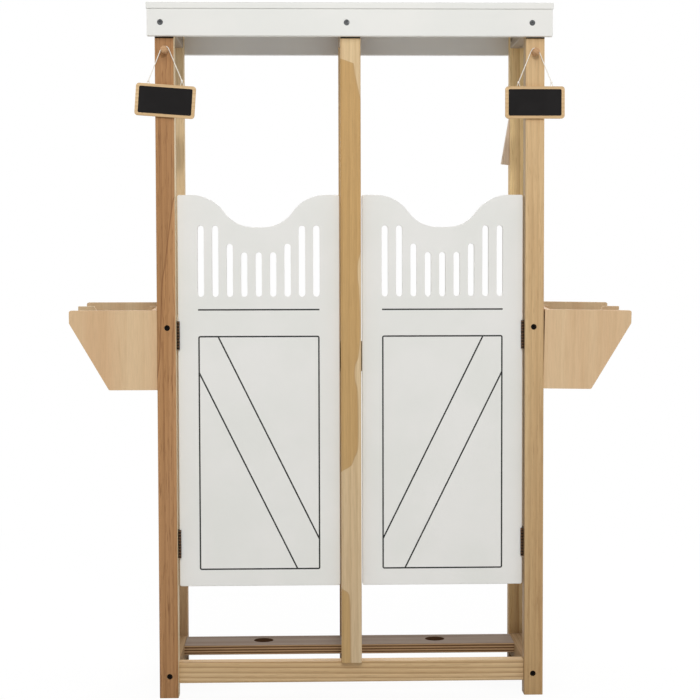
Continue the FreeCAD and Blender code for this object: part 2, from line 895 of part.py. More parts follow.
railWidth = size("rail_width")
railX = halfWidth - railWidth / 2
rails = [
    ("top", size("top_rail_height"), postTop - size("top_rail_height") / 2),
    ("middle", size("middle_rail_height"), size("middle_rail_level")),
    ("bottom", size("bottom_rail_height"), railTop - size("bottom_rail_height") / 2),
]
for levelName, height, level in rails:
    railBlank = slab(levelName + "_rail_blank", railWidth, innerDepth, height, "Y")
    softened(railBlank, size("rail_rounding"), runsAlong("Y"))
    for side, sideName in ((left, "left"), (right, "right")):
        blank = copyOf(railBlank, x=side * railX, z=level)
        drilled(f"{sideName}_{levelName}_rail", blank)
    if levelName == "top":
        drilled("centre_top_rail", copyOf(railBlank, z=level))

frontRailHeight = size("bottom_rail_height")
frontRail = slab(
    "front_rail_blank", innerHalf * 2, size("front_rail_depth"), frontRailHeight, "X"
)
softened(frontRail, size("rail_rounding"), runsAlong("X"))
place(frontRail, y=frontRailY, z=railTop - frontRailHeight / 2)
drilled("front_bottom_rail", frontRail)

shelfDepth = size("shelf_depth")
shelfThickness = size("shelf_thickness")
shelf = slab("shelf_blank", innerHalf * 2, shelfDepth, shelfThickness, "X")
softened(shelf, size("shelf_rounding"), runsAlong("X"))
holes = newSketch(shelf, "XY_Plane", shelfThickness / 2)
holeY = size("stick_hole_setback") - shelfDepth / 2
for side in (left, right):
    addCircle(holes, side * size("stick_hole_spread"), holeY, size("stick_hole_radius"))
pocket(shelf, holes, shelfThickness)
softened(
    shelf,
    size("stick_hole_rounding"),
    lambda edge: edge.Curve.TypeId == "Part::GeomCircle" and edge.Length > shelfThickness.number,
)
place(shelf, y=shelfFront + shelfDepth / 2, z=shelfMiddle)
drilled("stick_shelf", shelf)

# Roof

fasciaLength = halfWidth * 2 + size("fascia_overhang") * 2
fasciaHeight = size("fascia_height")
fasciaLevel = postTop - fasciaHeight / 2
boardOverhang = size("roof_board_overhang")
roofWidth = fasciaLength + boardOverhang * 2
roofDepth = halfDepth * 2 + fasciaThickness * 2 + boardOverhang * 2
roofThickness = size("roof_board_thickness")
roofRounding = size("roof_rounding")
roofBoard = slab("roof_board_blank", roofWidth, roofDepth, roofThickness, "Z")
softened(roofBoard, roofRounding, everyEdge)
place(roofBoard, z=postTop + roofThickness / 2)
drilled("roof_board", roofBoard)
fascia = slab("fascia_blank", fasciaLength, fasciaThickness, fasciaHeight, "X")
softened(fascia, roofRounding, everyEdge)
for end, endName in ((-1, "front"), (1, "rear")):
    y = end * (halfDepth + fasciaThickness / 2)
    drilled(endName + "_fascia", copyOf(fascia, y=y, z=fasciaLevel))

# Doors
# A door has the middle of its lower front edge at its own origin.

doorWidth = innerHalf - hingeGap - size("centre_post_width") / 2 - size("door_centre_gap")
doorX = innerHalf - hingeGap - doorWidth / 2
doorThickness = size("door_thickness")
crestRadius = size("door_crest_radius")
dipDepth = size("door_dip_depth")
crestX = doorWidth / 2 - size("door_shoulder")
dipX = size("door_dip_flat") / 2
# the two arcs of each shoulder meet where their common tangent runs
curveWidth = crestX - dipX
bothRadii = (curveWidth * curveWidth + dipDepth * dipDepth) / (dipDepth * 2)
dipRadius = bothRadii - crestRadius
crestShare = crestRadius / bothRadii
meetX = crestX - curveWidth * crestShare
meetZ = doorHeight - dipDepth * crestShare
grooveWidth = size("groove_width")
grooveDepth = size("groove_depth")


def doorOutline():
    half = doorWidth / 2
    corners = [
        (-half, zero),
        (half, zero),
        (half, doorHeight),
        (crestX, doorHeight),
        (meetX, meetZ),
        (dipX, doorHeight - dipDepth),
        (-dipX, doorHeight - dipDepth),
        (-meetX, meetZ),
        (-crestX, doorHeight),
        (-half, doorHeight),
    ]
    crest = (crestRadius, 1)
    dip = (dipRadius, -1)
    return corners, {3: crest, 4: dip, 6: dip, 7: crest}


def slots():
    # Each slot's middle, low end and high end.
    found = []
    for index, alias in enumerate(slot_lengths):
        offset = size("slot_pitch") * (len(slot_lengths) - 1 - index)
        low = size("slot_bottom")
        high = low + size(alias)
        found.append((offset, low, high))
        if index < len(slot_lengths) - 1:
            found.append((-offset, low, high))
    return found


def cutSlots(body):
    radius = size("slot_width") / 2
    straight = newSketch(body, "XZ_Plane")
    for x, low, high in slots():
        addOutline(straight, rectangle(x - radius, low + radius, x + radius, high - radius))
    pocket(body, straight, doorThickness)
    ends = newSketch(body, "XZ_Plane")
    for x, low, high in slots():
        addCircle(ends, x, low + radius, radius)
        addCircle(ends, x, high - radius, radius)
    pocket(body, ends, doorThickness)


def cutGrooves(body, side):
    # A line under the slots, a panel outline and the two edges of a brace, which starts
    # at the top of the panel on the hinge side.
    halfGroove = grooveWidth / 2
    panelHalf = size("groove_panel_width") / 2
    low = size("groove_panel_bottom")
    high = low + size("groove_panel_height")
    frame = newSketch(body, "XZ_Plane")
    outer = panelHalf + halfGroove
    inner = panelHalf - halfGroove
    corner = size("groove_corner")
    outside = (-outer, low - halfGroove, outer, high + halfGroove, corner)
    inside = (-inner, low + halfGroove, inner, high - halfGroove, corner - grooveWidth)
    for edge in (outside, inside):
        addOutline(frame, *roundedRectangle(*edge))
    pocket(body, frame, grooveDepth)
    lines = newSketch(body, "XZ_Plane")
    level = size("groove_line_level")
    addOutline(lines, rectangle(-outer, level - halfGroove, outer, level + halfGroove))
    lean = tangent(size("brace_angle"))
    across = halfGroove / cosine(size("brace_angle"))
    upper = size("brace_upper_offset")
    lower = size("brace_lower_offset")
    # each line starts on the hinge side, at the top or at the panel's edge
    lineEnds = [
        (-upper, high, panelHalf, high - (panelHalf + upper) / lean),
        (-panelHalf, low + (lower + panelHalf) / lean, lower, low),
    ]
    for startX, startZ, stopX, stopZ in lineEnds:
        corners = [
            (startX - across, startZ),
            (stopX - across, stopZ),
            (stopX + across, stopZ),
            (startX + across, startZ),
        ]
        if side == right:
            corners = [(-x, z) for x, z in corners[::-1]]
        addOutline(lines, corners)
    pocket(body, lines, grooveDepth)


def isCorner(edge):
    # The square corners of the outline, which run through the door's thickness.
    if not runsAlong("Y")(edge):
        return False
    x = abs(edge.CenterOfMass.x)
    return abs(x - doorWidth.number / 2) < tolerance


def isRim(edge):
    # The edges round a door's outline, on its front and its back.
    return edge.BoundBox.YLength < tolerance


for side, sideName in ((left, "left"), (right, "right")):
    door = profiled(sideName + "_door_blank", [doorOutline()], zero, doorThickness)
    softened(door, size("door_corner_rounding"), isCorner)
    softened(door, size("door_edge_rounding"), isRim)
    cutSlots(door)
    cutGrooves(door, side)
    y = size("door_setback") - halfDepth
    place(door, x=side * doorX, y=y, z=doorBottom)
    drilled(sideName + "_door", door)

# Troughs, pegs, wedge and metalwork in their nodes

for label, blank in troughBlanks:
    drilled(label, blank)
keep(group("dowels", troughDowels), "trough_dowels")
keep(group("trough_fixings", troughScrews), "trough_screws")
for side, sideName in ((left, "left"), (right, "right")):
    keep(pegs[side], sideName + "_sign_peg")

wedgeCorners = [
    (zero, zero),
    (zero, size("wedge_height")),
    (-size("wedge_width"), size("wedge_toe")),
]
wedgeStart = -size("wedge_depth") / 2
wedge = profiled("wedge_blank", [(wedgeCorners, {})], wedgeStart, size("wedge_depth"))
place(wedge, x=innerHalf, y=wedgeY, z=wedgeBottom)
drilled("wedge_rest", wedge)

keep(group("roof_bolt_set", roofBolts), "roof_bolts")
keep(group("centre_bolt_set", centreBolts), "centre_post_bolts")
keep(group("frame_bolt_set", frameBolts), "frame_bolts")
keep(group("nut_set", nuts), "barrel_nuts")
keep(group("wood_screw_set", woodScrews), "wood_screws")
keep(group("post_leaf_screws", leafScrews["post"]), "hinge_post_screws")
for side, sideName in ((left, "left"), (right, "right")):
    keep(group(sideName + "_post_leaves", leaves["post"][side]), sideName + "_hinge_post_leaves")
    keep(group(sideName + "_door_leaves", leaves["door"][side]), sideName + "_hinge_door_leaves")
    keep(group(sideName + "_leaf_screws", leafScrews[side]), sideName + "_hinge_door_screws")
    keep(group(sideName + "_pins", pins[side]), sideName + "_hinge_pins")

# Signs
# Each hangs from its peg on a loop of string and swings about the peg's axis.

signTop = size("sign_height") / 2
signTilt = {left: size("left_sign_tilt"), right: size("right_sign_tilt")}
signY = -(halfDepth + size("sign_standoff"))
signHalf = size("sign_thickness") / 2
panelStart = size("panel_recess") - size("panel_thickness") - signHalf


def boardOf(name, width, height, start, thickness, corner):
    corners = rectangle(-width / 2, -height / 2, width / 2, height / 2)
    body = profiled(name, [(corners, {})], start, thickness)
    softened(body, corner, runsAlong("Y"))
    return body


def stringShape(tilt):
    # The loop over the peg, a knot at each end and two legs from each knot to the board.
    loop = (size("peg_radius") + size("string_clearance") + size("string_radius")).number
    spread = size("knot_spread").number
    drop = size("knot_drop").number
    thick = size("string_radius").number
    distance = math.hypot(spread, drop)
    slant = math.atan2(spread, drop)
    # where the straight run leaves the peg
    touch = math.acos(loop / distance) + slant - math.pi / 2
    touchX = loop * math.cos(touch)
    touchZ = loop * math.sin(touch)
    leftKnot = FreeCAD.Vector(-spread, 0, -drop)
    rightKnot = FreeCAD.Vector(spread, 0, -drop)
    leftTouch = FreeCAD.Vector(-touchX, 0, touchZ)
    rightTouch = FreeCAD.Vector(touchX, 0, touchZ)
    crown = FreeCAD.Vector(0, 0, loop)
    path = Part.Wire([
        Part.LineSegment(leftKnot, leftTouch).toShape(),
        Part.Arc(leftTouch, crown, rightTouch).toShape(),
        Part.LineSegment(rightTouch, rightKnot).toShape(),
    ])
    ring = Part.Circle(leftKnot, leftTouch - leftKnot, thick).toShape()
    loopTube = path.makePipeShell([Part.Wire([ring])], True, False)
    wanted = math.pi * thick**2 * path.Length
    print(
        f"string: bend radius {loop:.2f}, length {path.Length:.1f},",
        f"volume {loopTube.Volume:.2f} against section x length {wanted:.2f}",
    )
    shapes = []
    legRadius = size("string_leg_radius").number
    legSpread = size("string_leg_spread").number
    turn = math.radians(tilt.number)
    edgeMiddle = signTop.number / math.cos(turn) - size("sign_drop").number
    edgeMiddle += size("string_leg_clearance").number
    for knot in (leftKnot, rightKnot):
        shapes.append(Part.makeSphere(size("knot_radius").number, knot))
        for way in (-1, 1):
            x = knot.x + way * legSpread
            leg = FreeCAD.Vector(x, 0, edgeMiddle - x * math.tan(turn)) - knot
            shapes.append(Part.makeCylinder(legRadius, leg.Length, knot, leg))
    return loopTube.fuse(shapes)


for side, sideName in ((left, "left"), (right, "right")):
    x, z = pegPlaces[side]
    where = {"x": x, "y": signY, "z": z - size("sign_drop"), "pitch": signTilt[side]}
    width = size("sign_width")
    height = size("sign_height")
    sign = boardOf(
        sideName + "_sign_blank", width, height, -signHalf, signHalf * 2, size("sign_corner")
    )
    softened(sign, size("sign_edge_rounding"), isRim)
    recess = newSketch(sign, "XZ_Plane", signHalf)
    halfWide = size("panel_width") / 2
    halfTall = size("panel_height") / 2
    addOutline(
        recess, *roundedRectangle(-halfWide, -halfTall, halfWide, halfTall, size("panel_corner"))
    )
    pocket(sign, recess, size("panel_recess"))
    keep(place(sign, **where), sideName + "_sign_board")
    panel = boardOf(
        sideName + "_panel",
        size("panel_width"),
        size("panel_height"),
        panelStart,
        size("panel_thickness"),
        size("panel_corner"),
    )
    keep(place(panel, **where), sideName + "_sign_panel")
    string = doc.addObject("Part::Feature", sideName + "_string")
    string.Shape = stringShape(signTilt[side])
    keep(place(string, x=x, y=signY, z=z), sideName + "_sign_string")

doc.recompute()

# Checks and export

for item in doc.Objects:
    bad = [state for state in item.State if state in ("Invalid", "Error")]
    if bad:
        raise RuntimeError(f"{item.Label} is {bad}")
os.makedirs("parts", exist_ok=True)
for piece in parts:
    shape = Part.getShape(piece)
    if shape.isNull() or not shape.isValid() or not shape.Solids:
        raise RuntimeError(f"{piece.Label} has no valid solid")
    shape.exportStep(f"parts/{piece.Label}.step")
print(len(parts), "pieces written")
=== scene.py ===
import math

import bpy
from mathutils import Matrix, Vector


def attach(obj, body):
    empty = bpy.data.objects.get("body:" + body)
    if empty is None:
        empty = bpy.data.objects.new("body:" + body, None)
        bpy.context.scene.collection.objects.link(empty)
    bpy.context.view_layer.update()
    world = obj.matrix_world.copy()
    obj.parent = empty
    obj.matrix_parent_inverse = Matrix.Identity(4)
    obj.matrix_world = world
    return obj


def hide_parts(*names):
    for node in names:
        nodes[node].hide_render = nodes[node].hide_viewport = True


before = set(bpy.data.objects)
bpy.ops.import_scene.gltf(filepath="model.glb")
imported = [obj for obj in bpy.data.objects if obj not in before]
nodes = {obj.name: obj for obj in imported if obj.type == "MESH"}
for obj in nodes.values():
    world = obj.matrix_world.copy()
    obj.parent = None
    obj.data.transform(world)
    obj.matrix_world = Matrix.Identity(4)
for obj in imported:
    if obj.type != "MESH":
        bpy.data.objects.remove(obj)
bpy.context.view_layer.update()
scene = bpy.context.scene
print("frame loaded:", len(nodes), "nodes")


# small helpers

def choose(*objects):
    for o in bpy.context.selected_objects:
        o.select_set(False)
    for o in objects:
        o.select_set(True)
    bpy.context.view_layer.objects.active = objects[0]


def settle(*objects):  # place and turn go into the mesh
    choose(*objects)
    bpy.ops.object.transform_apply(location=True, rotation=True, scale=True)


def toMesh(o):
    choose(o)
    bpy.ops.object.convert(target="MESH")
    return bpy.context.view_layer.objects.active


def weld(objects, name):
    choose(*objects)
    bpy.ops.object.join()
    o = bpy.context.view_layer.objects.active
    o.name = name
    return o


# camera

camera = {
    "place": (-0.0666, -2.8629, 0.6949),
    "turn": 0.0307,              # radians to the right
    "dip": 0.0511,               # radians below the horizon
    "roll": 0.0022,
    "focal": 1742.9,             # pixels of the photograph
    "middle": (362.26, 348.65),  # where the camera's axis meets the photograph
    "photo": 700,                # pixels along its side
    "sensor": 36.0,              # millimetres
    "near": 0.05,
    "far": 60,
}


def addCamera(c):
    bpy.ops.object.camera_add(location=c["place"])
    cam = bpy.context.object
    turn = Matrix.Rotation(-c["turn"], 3, "Z")
    tip = Matrix.Rotation(math.pi / 2 - c["dip"], 3, "X")
    roll = Matrix.Rotation(-c["roll"], 3, "Z")
    cam.rotation_euler = (turn @ tip @ roll).to_euler()
    lens = cam.data
    lens.sensor_width = c["sensor"]
    lens.lens = c["focal"] / c["photo"] * c["sensor"]
    lens.shift_x = 0.5 - c["middle"][0] / c["photo"]
    lens.shift_y = c["middle"][1] / c["photo"] - 0.5
    lens.clip_start = c["near"]
    lens.clip_end = c["far"]
    scene.camera = cam


addCamera(camera)
print("camera placed")


# the signs' strings, each from knot to knot over its peg

strings = {
    "pegs": {"left": (-0.2887, 1.0206), "right": (0.2893, 1.0184)},
    "tilts": {"left": 4.0, "right": 0.0},  # degrees that the signs hang askew
    "y": -0.1232,
    "route": [                   # points from the peg's axis, to the right and up
        (-0.0260, -0.0470),
        (-0.0066, 0.0006),
        (-0.0051, 0.0042),
        (-0.0019, 0.0063),
        (0.0019, 0.0063),
        (0.0051, 0.0042),
        (0.0066, 0.0006),
        (0.0260, -0.0470),
    ],
    "routeSteps": 24,            # points between two of the route's
    "length": 0.1216,
    "diameter": 0.0014,
    "strands": 3,
    "strandRadius": 0.00042,
    "strandOffset": 0.00034,
    "twists": 40,
    "samples": 11,               # points along a strand for each twist
    "roundness": 2,
}

knotForm = {
    "across": 0.0036,
    "ring": 0.29,                # radii as parts of the knot's width
    "rope": 0.21,
    "turns": ((90, 0), (35, 70), (-30, -60), (10, 20)),  # degrees, one pair for each loop
    "segments": (20, 8),
    "legRadius": 0.0005,
    "legSpread": 0.0024,
    "legSink": 0.0006,           # how far a leg goes into the board
    "signDrop": 0.0782,          # from the peg's axis to the sign's middle
    "signHalfHeight": 0.02515,
}


def splineCurve(name, points, kind="NURBS", radius=0.0):
    data = bpy.data.curves.new(name, "CURVE")
    data.dimensions = "3D"
    data.bevel_depth = radius
    data.bevel_resolution = strings["roundness"]
    data.use_fill_caps = radius > 0
    spline = data.splines.new(kind)
    spline.points.add(len(points) - 1)
    for point, place in zip(spline.points, points):
        point.co = (*place, 1)
    if kind == "NURBS":
        spline.order_u = 3
        spline.use_endpoint_u = True
        spline.resolution_u = strings["routeSteps"]
    o = bpy.data.objects.new(name, data)
    scene.collection.objects.link(o)
    return o


def centreline(points):  # points along the smooth route
    guide = splineCurve("route", points)
    line = bpy.data.meshes.new_from_object(guide)
    found = [v.co.copy() for v in line.vertices]
    bpy.data.objects.remove(guide)
    bpy.data.meshes.remove(line)
    return found


def evenly(points, count):  # the same line in equal steps
    spans = [(b - a).length for a, b in zip(points, points[1:])]
    total = sum(spans)
    found = []
    index, passed = 0, 0.0
    for step in range(count + 1):
        target = total * step / count
        while index < len(spans) - 1 and passed + spans[index] < target:
            passed += spans[index]
            index += 1
        share = (target - passed) / spans[index]
        found.append(points[index].lerp(points[index + 1], min(share, 1.0)))
    return found


def twistedString(name, line, s):
    flat = Vector((0, 1, 0))  # the whole route lies in one upright plane
    count = s["twists"] * s["samples"]
    steps = evenly(line, count)
    strands = []
    for number in range(s["strands"]):
        points = []
        for index, p in enumerate(steps):
            ahead = steps[min(index + 1, count)] - steps[max(index - 1, 0)]
            across = ahead.normalized().cross(flat)
            angle = 2 * math.pi * (index / s["samples"] + number / s["strands"])
            away = across * math.cos(angle) + flat * math.sin(angle)
            points.append(p + away * s["strandOffset"])
        strands.append(toMesh(splineCurve(name, points, "POLY", s["strandRadius"])))
    return weld(strands, name)


def knotLoops(place, k):  # four small rings, each turned its own way
    made = []
    for tip, spin in k["turns"]:
        bpy.ops.mesh.primitive_torus_add(
            location=place,
            rotation=(math.radians(tip), math.radians(spin), 0),
            major_radius=k["across"] * k["ring"],
            minor_radius=k["across"] * k["rope"],
            major_segments=k["segments"][0],
            minor_segments=k["segments"][1],
        )
        made.append(bpy.context.object)
    return made


def knotPair(side, s, k):  # both knots of a sign and their short legs down to the board
    pegX, pegZ = s["pegs"][side]
    tilt = math.radians(s["tilts"][side])
    made = []
    for knotX, knotZ in (s["route"][0], s["route"][-1]):
        knot = Vector((pegX + knotX, s["y"], pegZ + knotZ))
        made += knotLoops(knot, k)
        for way in (-1, 1):
            footX = knotX + way * k["legSpread"]
            footZ = k["signHalfHeight"] / math.cos(tilt) - k["signDrop"] - footX * math.tan(tilt)
            foot = Vector((pegX + footX, s["y"], pegZ + footZ - k["legSink"]))
            middle = knot.lerp(foot, 0.5) + Vector((way * k["legRadius"], 0, 0))
            leg = splineCurve("leg", [knot, middle, foot], "NURBS", k["legRadius"])
            made.append(toMesh(leg))
    settle(*made)
    return weld(made, side + "_knots")


cottonPieces = []
for side, (pegX, pegZ) in strings["pegs"].items():
    route = [(pegX + x, strings["y"], pegZ + z) for x, z in strings["route"]]
    line = centreline(route)
    cord = twistedString(side + "_string", line, strings)
    knots = knotPair(side, strings, knotForm)
    for piece in (cord, knots):
        choose(piece)
        bpy.ops.object.shade_smooth()
        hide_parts(side + "_sign_string")
        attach(piece, side + "_sign")
    cottonPieces += [cord, knots]
print("strings made")


# node helpers

def shade(text):  # a colour as seen on screen, to the linear one that a shader takes
    values = [int(text[i:i + 2], 16) / 255 for i in (1, 3, 5)]
    line = [v / 12.92 if v <= 0.04045 else ((v + 0.055) / 1.055) ** 2.4 for v in values]
    return (*line, 1.0)


def add(tree, kind, links=None, values=None, **settings):
    node = tree.nodes.new("ShaderNode" + kind)
    for key, value in settings.items():
        setattr(node, key, value)
    for key, value in (values or {}).items():
        node.inputs[key].default_value = value
    for key, socket in (links or {}).items():
        tree.links.new(socket, node.inputs[key])
    return node


def feed(tree, node, given):  # numbers are set, sockets are linked, None is left alone
    for index, value in given.items():
        if value is None:
            continue
        if isinstance(value, (int, float, tuple)):
            node.inputs[index].default_value = value
        else:
            tree.links.new(value, node.inputs[index])


def maths(tree, operation, first, second=None, third=None, clamp=False):
    node = add(tree, "Math", operation=operation, use_clamp=clamp)
    feed(tree, node, {0: first, 1: second, 2: third})
    return node.outputs[0]


def blendColours(tree, share, first, second, mode="MIX"):
    node = add(tree, "Mix", data_type="RGBA", blend_type=mode)
    feed(tree, node, {0: share, 6: first, 7: second})
    return node.outputs[2]


def tinted(tree, tone, mask, strength, colour):  # another colour over part of the tone
    return blendColours(tree, maths(tree, "MULTIPLY", mask, strength), tone, shade(colour))


def ramp(tree, value, low, high):  # a smooth step from 0 at low to 1 at high
    links = {"Value": value}
    edges = {"From Min": low, "From Max": high}
    node = add(tree, "MapRange", links, edges, interpolation_type="SMOOTHSTEP")
    return node.outputs["Result"]


def noise(tree, place, scale, detail=3.0, rough=0.5):
    values = {"Scale": scale, "Detail": detail, "Roughness": rough}
    return add(tree, "TexNoise", {"Vector": place}, values).outputs["Fac"]


def patches(tree, place, look):  # noise cut to soft patches
    return ramp(tree, noise(tree, place, *look["noise"]), *look["edges"])


def spot(tree, kind="Object"):  # the point on the piece, or "Normal" for the way it faces
    return add(tree, "TexCoord").outputs[kind]


def split(tree, socket):
    return add(tree, "SeparateXYZ", {"Vector": socket}).outputs


def newMaterial(name):
    mat = bpy.data.materials.new(name)
    mat.use_nodes = True
    tree = mat.node_tree
    return mat, tree, tree.nodes["Principled BSDF"]


def bumped(tree, shader, height, strength, distance):
    values = {"Strength": strength, "Distance": distance}
    bump = add(tree, "Bump", {"Height": height}, values)
    tree.links.new(bump.outputs["Normal"], shader.inputs["Normal"])


def grained(tree, shader, tone, grain):  # the tone, lighter and darker with the grain
    value = add(tree, "HueSaturation", {"Color": tone, "Value": grain})
    tree.links.new(value.outputs["Color"], shader.inputs["Base Color"])


# wood: what every kind shares

figure = {                       # a noise is its scale, detail and roughness
    "ringPeriod": 0.314,         # from ring to ring at a wave scale of 1
    "ringDetail": (2.0, 0.35, 0.45),
    "broad": {"noise": (26.0, 2.0), "edges": (0.3, 0.7)},
    "streak": {"noise": (210.0, 2.0), "edges": (0.56, 0.74)},
    "fleck": {"noise": (820.0, 2.0), "edges": (0.58, 0.70)},
    "fleckSqueeze": 0.045,
    "fibre": (620.0, 3.0, 0.6),
    "fine": (1900.0, 2.0, 0.6),
    # where the painted light and shade on a post's inner side begins and where it is full
    "innerEdges": (0.6, 0.9),
    "roughSpread": 0.2,
    "ringHeight": 0.6,
    "bump": (0.22, 0.00035),
}

paintedFasciaShadow = {                      # painted shadow: the dark line on a post, right under the front fascia
    "edge": min(v.co.z for v in nodes["front_fascia"].data.vertices),
    "start": -0.0026,            # heights from the edge
    "full": -0.0016,
    "end": 0.001,
    "front": -0.5,               # only faces that look further forward than this
    "tone": "#1C120A",
}

heartLook = {
    "height": 1.1,               # of the curve that the edge follows
    "front": 0.12,               # from the origin to the posts' front, where it is drawn
    "rim": 0.0016,
}

plainWood = {                    # used where a wood doesn't say
    "squeeze": 0.035,            # how slowly the figure runs along the grain
    "wander": 6.0,
    "fibre": 0.35,
    "rough": 0.42,
    "gloss": 0.15,
    "heartLean": 0.25,
}


def grainPlace(tree, along, seed, squeeze):
    # coordinates whose Z follows the grain and runs slowly, so that all figure is drawn out
    turn = {"X": (0, -math.pi / 2, 0), "Y": (math.pi / 2, 0, 0), "Z": (0, 0, 0)}[along]
    scale = [squeeze if axis == along else 1.0 for axis in "XYZ"]
    values = {"Location": seed, "Rotation": turn, "Scale": scale}
    return add(tree, "Mapping", {"Vector": spot(tree)}, values).outputs["Vector"]


def yearRings(tree, place, w):
    detail, detailScale, detailRough = figure["ringDetail"]
    values = {
        "Scale": figure["ringPeriod"] / w["rings"],
        "Distortion": w["wander"],
        "Detail": detail,
        "Detail Scale": detailScale,
        "Detail Roughness": detailRough,
    }
    settings = {"wave_type": "RINGS", "rings_direction": "Z", "wave_profile": "SAW"}
    return add(tree, "TexWave", {"Vector": place}, values, **settings).outputs["Fac"]


def heartwood(tree, tone, w):
    # darker wood on the left of a line that wanders up the piece, as (height, x) pairs
    low, high = w["heartSpan"]
    reach = heartLook["height"]
    parts = split(tree, spot(tree))
    height = maths(tree, "DIVIDE", parts["Z"], reach, clamp=True)
    curve = add(tree, "FloatCurve", {"Value": height})
    points = curve.mapping.curves[0].points
    pairs = [(z / reach, (x - low) / (high - low)) for z, x in w["heart"]]
    points[0].location, points[1].location = pairs[0], pairs[-1]
    for pair in pairs[1:-1]:
        points.new(*pair)
    curve.mapping.update()
    edge = maths(tree, "MULTIPLY_ADD", curve.outputs["Value"], high - low, low)
    behind = maths(tree, "ADD", parts["Y"], heartLook["front"])
    edge = maths(tree, "ADD", edge, maths(tree, "MULTIPLY", behind, w["heartLean"]))
    inside = maths(tree, "SUBTRACT", edge, parts["X"])
    mask = ramp(tree, inside, -w["heartBlur"], w["heartBlur"])
    tone = tinted(tree, tone, mask, w["heartShare"], w["heartTone"])
    rim = ramp(tree, maths(tree, "ABSOLUTE", inside), heartLook["rim"], 0.0)
    return tinted(tree, tone, rim, w["heartRim"], w["late"])


# painted shadow: a dark band on a post's front, just under the fascia's lower edge
def paintShadowUnderFascia(tree, tone, level, facing, c):
    line = ramp(tree, level, c["edge"] + c["start"], c["edge"] + c["full"])
    below = maths(tree, "LESS_THAN", level, c["edge"] + c["end"])
    ahead = maths(tree, "LESS_THAN", facing, c["front"])
    line = maths(tree, "MULTIPLY", maths(tree, "MULTIPLY", line, below), ahead)
    return blendColours(tree, line, tone, shade(c["tone"]))


def woodMaterial(name, w):
    mat, tree, shader = newMaterial(name)
    place = grainPlace(tree, w["along"], w["seed"], w["squeeze"])
    level = split(tree, spot(tree))["Z"]
    facing = split(tree, spot(tree, "Normal"))
    late = maths(tree, "POWER", yearRings(tree, place, w), w["sharp"])
    fibre = noise(tree, place, *figure["fibre"])
    fine = noise(tree, place, *figure["fine"])
    broad = patches(tree, place, figure["broad"])
    tone = blendColours(tree, broad, shade(w["pale"]), shade(w["warm"]))
    if "heart" in w:
        tone = heartwood(tree, tone, w)
    tone = tinted(tree, tone, late, w["contrast"], w["late"])
    streak = patches(tree, place, figure["streak"])
    tone = tinted(tree, tone, streak, w["streaks"], w["late"])
    if "flecks" in w:
        short = grainPlace(tree, w["along"], w["seed"], figure["fleckSqueeze"])
        fleck = patches(tree, short, figure["fleck"])
        tone = tinted(tree, tone, fleck, w["flecks"], w["late"])
    if "inner" in w:  # painted light and shade: the side that faces the stall is lighter or darker for how the light falls on it
        side = maths(tree, "MULTIPLY", facing["X"], w["innerWay"])
        side = ramp(tree, side, *figure["innerEdges"])
        tone = blendColours(tree, side, tone, shade(w["inner"]))
    for step in ("foot", "soleShade"):  # painted shade: the colour that the tone is multiplied by at the floor, fading out up to the given height
        if step in w:
            reach = {"From Min": w[step + "From"], "From Max": 0.0}
            shadeTowardFloor = add(tree, "MapRange", {"Value": level}, reach).outputs["Result"]
            tone = blendColours(tree, shadeTowardFloor, tone, (*w[step], 1.0), "MULTIPLY")
    # painted shadow under the front fascia
    if w.get("fasciaShadowPainted"):
        tone = paintShadowUnderFascia(tree, tone, level, facing["Y"], paintedFasciaShadow)
    speck = maths(tree, "MULTIPLY", maths(tree, "SUBTRACT", fibre, 0.5), w["fibre"])
    grained(tree, shader, tone, maths(tree, "ADD", 1.0, speck))
    rough = maths(tree, "MULTIPLY_ADD", fibre, figure["roughSpread"], w["rough"])
    tree.links.new(rough, shader.inputs["Roughness"])
    shader.inputs["Specular IOR Level"].default_value = w["gloss"]
    height = maths(tree, "MULTIPLY", late, figure["ringHeight"])
    height = maths(tree, "ADD", height, maths(tree, "ADD", fibre, fine))
    bumped(tree, shader, height, *figure["bump"])
    return mat
